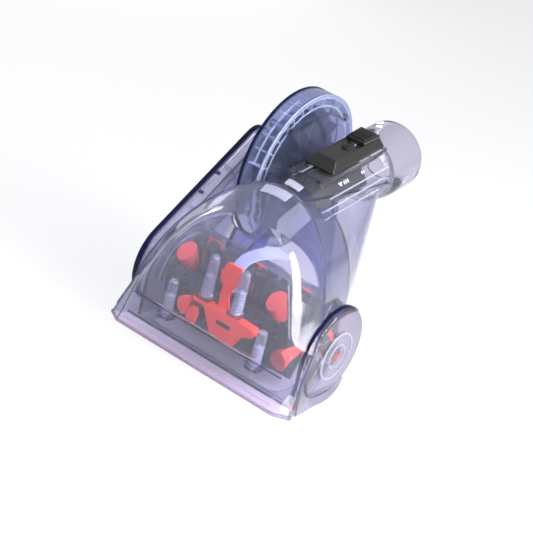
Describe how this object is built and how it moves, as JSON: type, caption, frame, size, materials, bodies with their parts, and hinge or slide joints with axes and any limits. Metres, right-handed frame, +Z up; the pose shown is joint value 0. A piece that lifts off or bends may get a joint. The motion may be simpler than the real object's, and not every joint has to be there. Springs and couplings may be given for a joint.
{
  "type": "vacuum turbo brush",
  "caption": "Handheld air-driven turbo brush for a vacuum hose: clear arched hood, spinning brush, side turbine with belt drive, slide switch and round hose socket.",
  "frame": {"origin": "centre of the bounding box, on the flat sole plane", "axes": "+X to the right side with the round end cap, +Y back along the tool from the lip to the hose socket, +Z up, square to the sole"},
  "size_m": [0.172, 0.2251, 0.1827],
  "materials": {
    "clear_shell": "clear gloss",
    "blue_tint_shell": "clear gloss, blue tint",
    "lilac_frame": "half clear",
    "dark_cover": "dark tinted",
    "red_brush": "satin",
    "black_bristle": "matt fibre",
    "black_switch": "satin",
    "dark_sleeve": "satin",
    "dark_core": "satin",
    "grey_rotor": "satin",
    "steel": "plain",
    "bush_bronze": "plain",
    "belt_rubber": "matt",
    "pale_pulley": "plain"
  },
  "bodies": {
    "shell": {"window_hood": "clear_shell", "front_body": "clear_shell", "bulkhead": "lilac_frame", "rear_body": "blue_tint_shell", "tube_cover": "blue_tint_shell", "tube_socket": "blue_tint_shell", "sole_frame": "clear_shell", "right_end_cap": "clear_shell", "belt_cover": "dark_cover", "belt_case": "blue_tint_shell", "drive_belt": "belt_rubber", "turbine_drum": "blue_tint_shell", "turbine_cover": "blue_tint_shell", "inner_shaft_bush": "bush_bronze", "outer_shaft_bush": "bush_bronze", "brush_bearing": "bush_bronze", "brush_bush": "bush_bronze", "front_bracket": "red_brush", "boss_screws": "steel", "drum_screws": "steel"},
    "brush": {"brush_core": "dark_core", "brush_paddles": "red_brush", "bristle_strips": "black_bristle", "brush_axle": "steel", "brush_pulley": "pale_pulley"},
    "turbine": {"turbine_rotor": "grey_rotor", "turbine_shaft": "steel", "turbine_pulley": "pale_pulley", "rotor_nut": "steel"},
    "switch": {"slide_switch": "black_switch", "switch_screw": "steel", "valve_sleeve": "dark_sleeve"}
  },
  "joints": [
    {"name": "brush_spin", "type": "hinge", "parent": "shell", "child": "brush", "pos_m": [0, -0.05375, 0.0352], "axis": [1, 0, 0], "continuous": true},
    {"name": "turbine_spin", "type": "hinge", "parent": "shell", "child": "turbine", "pos_m": [-0.041, 0.03025, 0.1175], "axis": [1, 0, 0], "continuous": true},
    {"name": "switch_slide", "type": "slide", "parent": "shell", "child": "switch", "axis": [0, -0.9848, -0.1736], "range_m": [0, 0.012]}
  ],
  "couplings": [
    {"joint": "turbine_spin", "follows": "brush_spin", "ratio": 2.5}
  ]
}
